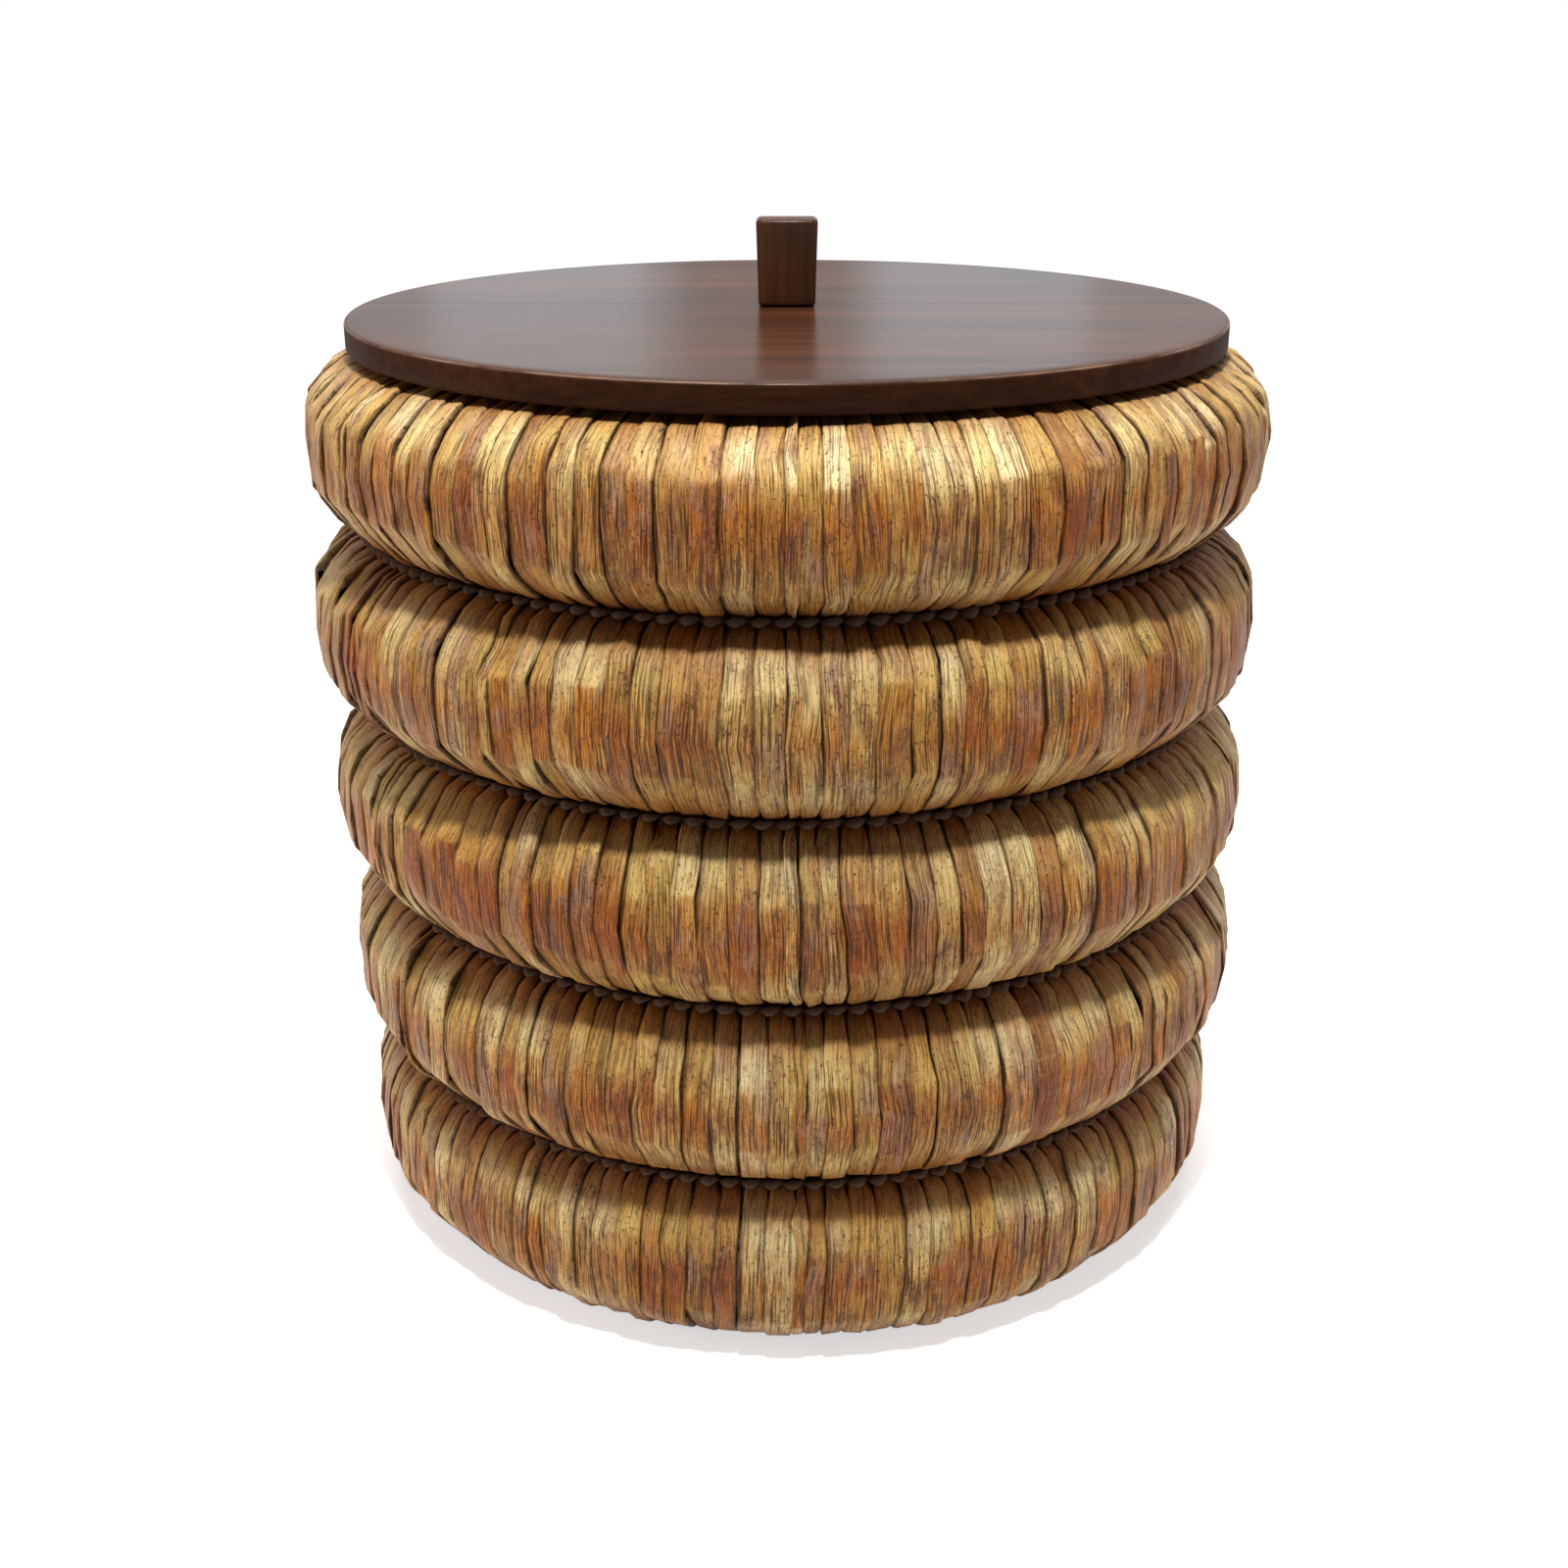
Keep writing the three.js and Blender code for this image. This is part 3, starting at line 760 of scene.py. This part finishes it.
def lid_boards(material):
    """The two boards: the disc, cut at the glue joint with a hair's gap between them."""
    joint = (boxes["lid_front_board"][1].y + boxes["lid_rear_board"][0].y) / 2
    points, faces, wear = lid_disc()
    for node, side in (("lid_front_board", -1), ("lid_rear_board", 1)):
        piece = new_piece(f"walnut_{node}", points, faces, material, sharp_angle=40)
        set_point_values(piece, "wear", "FLOAT", wear)
        solid = bmesh.new()
        solid.from_mesh(piece.data)
        cut = bmesh.ops.bisect_plane(
            solid,
            geom=[*solid.verts, *solid.edges, *solid.faces],
            plane_co=(0, joint + side * board_gap / 2, 0),
            plane_no=(0, -side, 0),
            clear_outer=True,
        )
        outline = [part for part in cut["geom_cut"] if isinstance(part, bmesh.types.BMEdge)]
        bmesh.ops.contextual_create(solid, geom=outline)
        bmesh.ops.recalc_face_normals(solid, faces=solid.faces)
        solid.to_mesh(piece.data)
        solid.free()
        piece.data.set_sharp_from_angle(angle=math.radians(40))
        enter(piece, "lid", "walnut_lacquer", node)


def lid_wood(peg_material, batten_material):
    """The peg handle and the two battens."""
    node = "lid_handle"
    foot = foot_place(node)
    peg = rounded_block("peg_handle", node, foot, 3.2 * mm, 2.2 * mm, peg_material, peg_foot_scale)
    enter(peg, "lid", "walnut_lacquer", node)
    for side in ("left", "right"):
        node = f"lid_batten_{side}"
        foot = foot_place(node)
        batten = rounded_block(f"batten_{side}", node, foot, 2.5 * mm, 2 * mm, batten_material)
        enter(batten, "lid", "walnut_lacquer", node)


def lid_screws(material):
    """Pan-head screws with a cross recess, pointing up.

    The head bulges down by dome * (1 - (r / R) ** 2), less the recess, a cross of two slots that gets
    shallower with the radius. The shank is a turned profile on the same bearings.
    """
    nodes = [f"batten_screw_{number}" for number in range(1, 9)] + ["handle_screw_left", "handle_screw_right"]
    steps = 40
    head_radius, head_height, shank_radius = 4 * mm, 2.2 * mm, 2 * mm
    dome, slot_depth, slot_half_width, slot_reach = 1.1 * mm, 1.3 * mm, 0.55 * mm, 2.4 * mm
    point_radius, point_length = 0.15 * mm, 2.5 * mm
    rings = np.linspace(0.08, 1, 9)[:, None] * head_radius
    bearing = round_angles(steps)
    x, y = rings * np.sin(bearing), -rings * np.cos(bearing)
    in_slot = (np.minimum(np.abs(x), np.abs(y)) < slot_half_width) & (rings < slot_reach)
    face = dome * (rings / head_radius) ** 2
    face = face + np.where(in_slot, slot_depth * (1 - 0.5 * rings / slot_reach), 0)
    for node in nodes:
        low, high = boxes[node]
        tip = high.z - low.z
        profile = [
            (head_radius, dome + 0.5 * mm),
            (head_radius * 0.97, head_height),
            (shank_radius, head_height),
            (shank_radius, tip - point_length),
            (point_radius, tip),
        ]
        shank_r, shank_z = np.array(profile).T[:, :, None]
        radius = np.concatenate([rings, shank_r])
        height = np.concatenate([face, shank_z + 0 * bearing])
        points = on_bearing(bearing, radius, height) + foot_place(node)
        faces = tube_faces(1, len(points), steps)
        piece = new_piece(f"cross_{node}", points, faces, material, sharp_angle=35)
        enter(piece, "lid", "screw_steel", node)


# Materials


class Recipe:
    """Nodes of a material or world under construction: most methods add a node and return its output."""

    def __init__(self, owner):
        self.owner = owner
        owner.use_nodes = True
        self.tree = owner.node_tree
        self.tree.nodes.clear()

    def node(self, kind, inputs, output=0, **settings):
        """A node of this kind. `inputs` maps sockets' names or numbers to values or other nodes' outputs."""
        made = self.tree.nodes.new(kind)
        for name, value in settings.items():
            setattr(made, name, value)
        for name, value in inputs.items():
            if isinstance(value, bpy.types.NodeSocket):
                self.tree.links.new(value, made.inputs[name])
            else:
                made.inputs[name].default_value = value
        return made.outputs[output]

    def attribute(self, name, output="Vector"):
        return self.node("ShaderNodeAttribute", {}, output, attribute_name=name)

    def object_place(self):
        return self.node("ShaderNodeTexCoord", {}, "Object")

    def stretched(self, vector, scale, shift=(0, 0, 0)):
        """The vector times `scale`, plus `shift`."""
        return self.node("ShaderNodeVectorMath", {0: vector, 1: scale, 2: shift}, operation="MULTIPLY_ADD")

    def part(self, vector, axis):
        return self.node("ShaderNodeSeparateXYZ", {0: vector}, axis)

    def noise(self, place, scale, shift=(0, 0, 0), detail=3, roughness=0.55, distortion=0):
        settings = {"Scale": 1, "Detail": detail, "Roughness": roughness, "Distortion": distortion}
        return self.node("ShaderNodeTexNoise", {"Vector": self.stretched(place, scale, shift), **settings})

    def chance(self, number, shift=0.0):
        """A random value from 0 to 1 for each whole number."""
        moved = self.sum(number, shift)
        return self.node("ShaderNodeTexWhiteNoise", {"W": moved}, noise_dimensions="1D")

    def math(self, operation, first, second):
        return self.node("ShaderNodeMath", {0: first, 1: second}, operation=operation)

    def sum(self, first, *others):
        for other in others:
            first = self.math("ADD", first, other)
        return first

    def product(self, first, second):
        return self.math("MULTIPLY", first, second)

    def between(self, value, low, high, new_low=0.0, new_high=1.0):
        """The value's place between low and high, held inside them and carried to the new range."""
        inputs = {0: value, 1: low, 2: high, 3: new_low, 4: new_high}
        return self.node("ShaderNodeMapRange", inputs)

    def ramp(self, value, stops):
        """Starts the colour: by this value, from stops of (place, screen colour)."""
        made = self.tree.nodes.new("ShaderNodeValToRGB")
        elements = made.color_ramp.elements
        while len(elements) < len(stops):
            elements.new(0.5)
        for element, (place, colour) in zip(elements, stops):
            element.position = place
            element.color = srgb(*colour)
        self.tree.links.new(value, made.inputs[0])
        self.colour = made.outputs[0]

    def cover(self, share, colour, way="MIX"):
        """Mixes `share` of a screen colour into the colour."""
        inputs = {0: share, 6: self.colour, 7: srgb(*colour)}
        self.colour = self.node("ShaderNodeMix", inputs, 2, data_type="RGBA", blend_type=way)

    def stain(self, share, colour):
        """Multiplies the colour by a screen colour, as far as `share` goes."""
        self.cover(share, colour, "MULTIPLY")

    def bump(self, height, distance):
        return self.node("ShaderNodeBump", {"Height": height, "Distance": distance, "Strength": 1.0})

    def end(self, shader, kind="ShaderNodeOutputMaterial"):
        """Leads the shader to the output and returns the finished material or world."""
        self.tree.links.new(shader, self.tree.nodes.new(kind).inputs["Surface"])
        return self.owner

    def finish(self, **inputs):
        """Ends the recipe with a Principled shader. Underscores in the names stand for spaces."""
        named = {name.replace("_", " "): value for name, value in inputs.items()}
        return self.end(self.node("ShaderNodeBsdfPrincipled", {"Base Color": self.colour, **named}))


def new_recipe(name):
    return Recipe(bpy.data.materials.new(name))


def plant_strip(name, relief_depth=0.6 * mm, darkening=0.0):
    """Dried flattened stem: straw to tan from strip to strip, with dark fibre lines, stains, specks and
    painted shade.

    strip_part is (nearness to the strip's edge, to the band's front, to the bend over a hoop). strip_depth is
    1 at the waists, and `darkening` is the share of a deep brown over it all. The edges, the upright faces
    and the waists get painted shade, and the inner strips' deep brown is painted shade too.
    """
    r = new_recipe(name)
    place = r.attribute("strip_place")
    number = r.part(place, 2)
    parts = r.attribute("strip_part")
    seam, front, bend = (r.part(parts, axis) for axis in range(3))
    depth = r.attribute("strip_depth", "Fac")

    # The strip's own tone, the slow stains and weathering along it, and painted shade that makes each band's
    # upright face darker and redder
    r.ramp(
        r.chance(number),
        [
            (0.0, (243, 229, 180)),
            (0.2, (235, 217, 158)),
            (0.42, (228, 206, 140)),
            (0.6, (218, 190, 112)),
            (0.76, (208, 175, 102)),
            (0.89, (196, 157, 90)),
            (1.0, (160, 112, 68)),
        ],
    )
    drift = r.noise(place, (0.06, 0.02, 3.7))
    r.cover(r.between(drift, 0.43, 0.68, 0, 0.6), (205, 152, 78))
    # Partly painted shade and partly stain: each band's upright face is darker and redder, where less of the
    # overhead light falls; the weathering and browning lean that way too
    r.stain(r.between(front, 0, 1, 0, 0.6), (238, 202, 108))
    weathering_and_front_shade = r.product(r.noise(place, (0.12, 0.05, 2.3), (0, 0, 5), detail=4), 1.3)
    weathering_and_front_shade = r.sum(weathering_and_front_shade, r.product(r.chance(number, 31.0), 0.7))
    weathering_and_front_shade = r.between(r.sum(front, weathering_and_front_shade), 1.45, 2.15)
    r.stain(weathering_and_front_shade, (228, 170, 92))
    browning = r.noise(place, (0.09, 0.04, 5.3), (40, 0, 0), detail=5, roughness=0.65)
    browning = r.between(r.sum(browning, r.product(front, 0.08)), 0.55, 0.74, 0, 0.85)
    r.cover(browning, (142, 84, 48))
    greying = r.noise(place, (0.06, 0.03, 7.1), (0, 90, 0))
    r.cover(r.between(greying, 0.54, 0.68, 0, 0.6), (172, 138, 114))
    mottle = r.noise(place, (0.55, 0.16, 1.7), detail=4, roughness=0.65)
    r.stain(r.between(mottle, 0.5, 0.7, 0, 0.6), (168, 112, 70))

    # Fibres, grooves, specks, and cracks over the hoops
    fibre = r.noise(place, (2.1, 0.07, 2.9), roughness=0.65)
    lines = r.between(front, 0, 1, 0.5, 1)
    dark_fibre = r.product(lines, r.between(fibre, 0.35, 0.6, 0.8, 0))
    r.stain(dark_fibre, (104, 66, 40))
    r.cover(r.between(fibre, 0.58, 0.7, 0, 0.18), (250, 228, 168))
    groove = r.between(r.noise(place, (1.15, 0.028, 4.1), (0, 0, 3), detail=2, roughness=0.5), 0.565, 0.61)
    r.cover(r.product(groove, r.product(lines, 0.9)), (66, 38, 20))
    speck = r.noise(place, (1.0, 0.55, 6.7), roughness=0.6)
    speck = r.between(r.sum(speck, r.product(browning, 0.05)), 0.6, 0.655, 0, 0.8)
    r.cover(speck, (56, 32, 18))
    crack = r.product(r.between(bend, 0.5, 1), r.between(r.noise(place, (1.1, 0.8, 8.3)), 0.56, 0.66))
    r.cover(r.product(crack, 0.4), (244, 220, 160))

    # Painted shade: dark edges where the strips meet, and dark reddish waists under each band
    # Painted shade along each strip's edges
    r.stain(r.between(seam, 0.25, 0.85, 0, 0.9), (76, 44, 24))
    # Painted shade towards the waists: a dark reddish brown, and a red cast where the slopes lie in shade
    r.stain(r.product(depth, 0.92), (118, 62, 38))
    r.stain(r.between(depth, 0.15, 0.5), (242, 207, 172))
    # A deep brown over the whole strip; on the inner strips it is painted shade
    r.stain(darkening, (104, 66, 40))

    crumple = r.noise(place, (0.16, 0.08, 9.9))
    relief = r.sum(r.product(fibre, 0.35), r.product(groove, -0.45))
    relief = r.sum(relief, r.product(crumple, 0.8), r.product(crack, 0.5))
    return r.finish(
        Roughness=r.between(fibre, 0.3, 0.7, 0.6, 0.42),
        Specular_IOR_Level=0.2,
        Normal=r.bump(relief, relief_depth),
    )


def fibre_cord():
    """Twisted grey-brown fibre, with fine lines along each strand, kept dark partly as painted shade for its
    place deep in the waists, and with painted shade where it dips between two beads.
    """
    r = new_recipe("fibre_cord")
    place = r.attribute("strip_place")
    fibre = r.noise(place, (1.2, 0.5, 3.0), detail=4, roughness=0.65)
    cloud = r.noise(place, (0.1, 0.06, 7.0), detail=2)
    # Dark tones, partly the cord's own and partly painted shade for its place deep in the waists
    r.ramp(fibre, [(0.3, (58, 41, 31)), (0.55, (98, 75, 59)), (0.75, (130, 104, 84))])
    r.cover(r.between(cloud, 0.4, 0.7, 0, 0.6), (84, 61, 47))
    # Painted shade where the strand dips between two beads
    dip_shade = r.between(r.attribute("bead", "Fac"), 0.15, 0.6, 1, 0)
    r.stain(dip_shade, (90, 70, 58))
    return r.finish(Roughness=0.8, Specular_IOR_Level=0.1, Normal=r.bump(fibre, 0.5 * mm))


def walnut(name, grain, shift):
    """Dark walnut: long grain along one axis, fine pores, slow waves of tone, a worn arris painted paler,
    partly as the highlight that it catches.

    The wood itself is dull, and satin lacquer is a thin coat over it. `grain` is 0, 1 or 2 for X, Y or Z.
    """
    r = new_recipe(name)
    place = r.stretched(r.object_place(), (1, 1, 1), shift)

    def grained(along, across, **noise):
        scale = [across] * 3
        scale[grain] = along
        return r.noise(place, scale, **noise)

    wave = grained(3, 26, detail=3, roughness=0.5, distortion=0.6)
    streak = grained(9, 230, detail=4, roughness=0.6)
    pore = grained(45, 1500, detail=2)
    r.ramp(
        r.sum(r.product(wave, 0.5), r.product(streak, 0.5)),
        [(0.36, (48, 27, 17)), (0.5, (64, 37, 23)), (0.64, (78, 45, 28))],
    )
    r.cover(r.between(pore, 0.56, 0.66, 0, 0.6), (40, 24, 16))
    wear = r.attribute("wear", "Fac")
    r.stain(r.between(wear, -1, 0, 1, 0), (225, 218, 212))
    # Paler patches on the upper arris: partly wear, partly a painted highlight where the arris catches the
    # light
    worn_and_highlight = r.noise(place, (30, 30, 30))
    worn_and_highlight = r.product(r.between(wear, 0, 1), r.between(worn_and_highlight, 0.42, 0.62, 0.0, 0.6))
    r.cover(worn_and_highlight, (156, 128, 110))
    height = r.sum(r.product(streak, 0.5), r.product(pore, -0.25))
    return r.finish(
        Roughness=r.between(streak, 0.3, 0.7, 0.5, 0.65),
        Specular_IOR_Level=0.0,
        Coat_Weight=r.between(wear, -1, 0, 0.12, 0.36),
        Coat_IOR=1.32,
        Coat_Roughness=0.24,
        Normal=r.bump(height, 0.09 * mm),
    )


def frame_steel():
    """Black lacquered wire and bar, dull, with brushed-on lacquer that thins to brown in places."""
    r = new_recipe("frame_steel")
    place = r.object_place()
    grime = r.noise(place, (60, 60, 60), detail=4)
    fine = r.noise(place, (700, 700, 700))
    r.ramp(grime, [(0.35, (30, 25, 21)), (0.6, (46, 37, 30)), (0.72, (86, 58, 38))])
    return r.finish(
        Roughness=r.between(grime, 0.35, 0.7, 0.5, 0.7),
        Specular_IOR_Level=0.25,
        Normal=r.bump(fine, 0.08 * mm),
    )


def screw_steel():
    """Zinc plate with faint cloudy stains."""
    r = new_recipe("screw_steel")
    cloud = r.noise(r.object_place(), (400, 400, 400), detail=4)
    r.ramp(cloud, [(0.35, (176, 176, 174)), (0.65, (214, 214, 212))])
    return r.finish(Metallic=1.0, Roughness=r.between(cloud, 0.3, 0.7, 0.28, 0.42))


# Stage


def area_light(name, place, target, width, height, power, colour=(1, 1, 1), glossy=True):
    """A soft box that faces a point. It shows in reflections only where `glossy` is true."""
    data = bpy.data.lights.new(name, "AREA")
    data.shape = "RECTANGLE"
    data.size, data.size_y = width, height
    data.energy = power
    data.color = colour
    lamp = bpy.data.objects.new(name, data)
    lamp.location = place
    direction = np.array(target) - np.array(place)
    lamp.rotation_euler = Vector(direction).to_track_quat("-Z", "Y").to_euler()
    lamp.visible_camera = False
    lamp.visible_glossy = glossy
    bpy.context.scene.collection.objects.link(lamp)


def lights():
    """A small key in front, a large box above, warm boxes round it, and panels that gleam in the lid."""
    middle = (0, 0, 0.25)
    warm = (1, 0.9, 0.78)
    area_light("key", (0, -0.6, 1.5), middle, 0.1, 0.1, 20)
    area_light("top_box", (0, 0, 2.3), middle, 1.4, 0.9, 33)
    area_light("left_box", (-2.2, 0, 0.3), middle, 1.2, 0.7, 24, warm, glossy=False)
    area_light("right_box", (2.2, 0, 0.3), middle, 1.2, 0.7, 12, warm, glossy=False)
    area_light("rear_box", (0, 1.7, 2.2), middle, 1.2, 1.2, 14, warm)
    lid_middle = (0, 0, 0.46)
    cool = (0.66, 0.87, 1)
    area_light("left_panel", (-0.45, 2.0, 0.75), lid_middle, 0.59, 0.36, 0.6, cool)
    area_light("left_gleam", (-0.37, 1.99, 0.75), lid_middle, 0.32, 0.36, 0.42, cool)
    area_light("right_panel", (0.41, 2.0, 0.75), lid_middle, 0.64, 0.36, 0.6, cool)
    area_light("right_gleam", (0.29, 1.99, 0.75), lid_middle, 0.32, 0.36, 0.42, cool)


def background_rays(recipe):
    """1 for camera rays, reflections and rays through glass, which see the background itself."""
    path = recipe.tree.nodes.new("ShaderNodeLightPath")
    seen = recipe.math("MAXIMUM", path.outputs["Is Camera Ray"], path.outputs["Is Glossy Ray"])
    return recipe.math("MAXIMUM", seen, path.outputs["Is Transmission Ray"])


def floor():
    """A pale floor, which also shines for the camera and reflections: fully far off, not under the basket."""
    r = new_recipe("pale_floor")
    distance = r.node("ShaderNodeVectorMath", {0: r.object_place()}, "Value", operation="LENGTH")
    shine = r.product(r.between(distance, 0.4, 2.4, 0.62, 1.0), r.between(distance, 0.17, 0.2))
    diffuse = r.node("ShaderNodeBsdfDiffuse", {"Color": (0.9, 0.9, 0.9, 1)})
    emission = r.node("ShaderNodeEmission", {"Strength": r.product(background_rays(r), shine)})
    material = r.end(r.node("ShaderNodeAddShader", {0: diffuse, 1: emission}))
    half = 8.0
    level = -0.2 * mm
    points = [[-half, -half, level], [half, -half, level], [half, half, level], [-half, half, level]]
    piece = new_piece("floor", points, [np.arange(4)[None]], material)


def world():
    """A little light from all round, and plain white where the camera or a reflection sees past the floor."""
    r = Recipe(bpy.data.worlds.new("studio"))
    strength = r.between(background_rays(r), 0, 1, 0.04, 1.0)
    white = r.node("ShaderNodeBackground", {"Color": (1, 1, 1, 1), "Strength": strength})
    bpy.context.scene.world = r.end(white, "ShaderNodeOutputWorld")


def camera():
    """The photograph's viewpoint, found from the outline of the basket and its lid."""
    data = bpy.data.cameras.new("camera")
    data.sensor_width = 36
    data.lens = 45.07
    data.shift_x = -3 / 1600
    pitch_down = math.radians(21.22)
    made = bpy.data.objects.new("camera", data)
    made.location = (0, -1.002, 0.5973)
    made.rotation_euler = (math.pi / 2 - pitch_down, 0, 0)
    bpy.context.scene.collection.objects.link(made)
    bpy.context.scene.camera = made


def main():
    camera()
    lights()
    world()
    floor()
    bpy.context.scene.view_settings.view_transform = "Standard"

    outer = plant_strip("plant_strip")
    # Painted shade: the inner strips are a deep brown all over, as they lie in shade behind the outer ones
    inner = plant_strip("inner_plant_strip", relief_depth=0.35 * mm, darkening=0.8)
    mat_strip = plant_strip("mat_plant_strip", relief_depth=0.35 * mm, darkening=0.2)
    cord = fibre_cord()
    steel = frame_steel()
    zinc = screw_steel()
    board_wood = walnut("walnut_boards", 0, (0, 0, 0))
    batten_wood = walnut("walnut_battens", 1, (0.5, 0.2, 0.3))
    peg_wood = walnut("walnut_peg", 2, (0.31, 0.17, 0.09))

    edges = strip_edges(np.random.default_rng(5), strip_count)
    for band in range(1, band_count + 1):
        outer_strips(band, edges, outer)
        inner_strips(band, inner)
    cords(cord)
    hoops(steel)
    ribs(steel)
    base_bars(steel)
    base_mat(mat_strip)
    lid_boards(board_wood)
    lid_wood(peg_wood, batten_wood)
    lid_screws(zinc)


main()
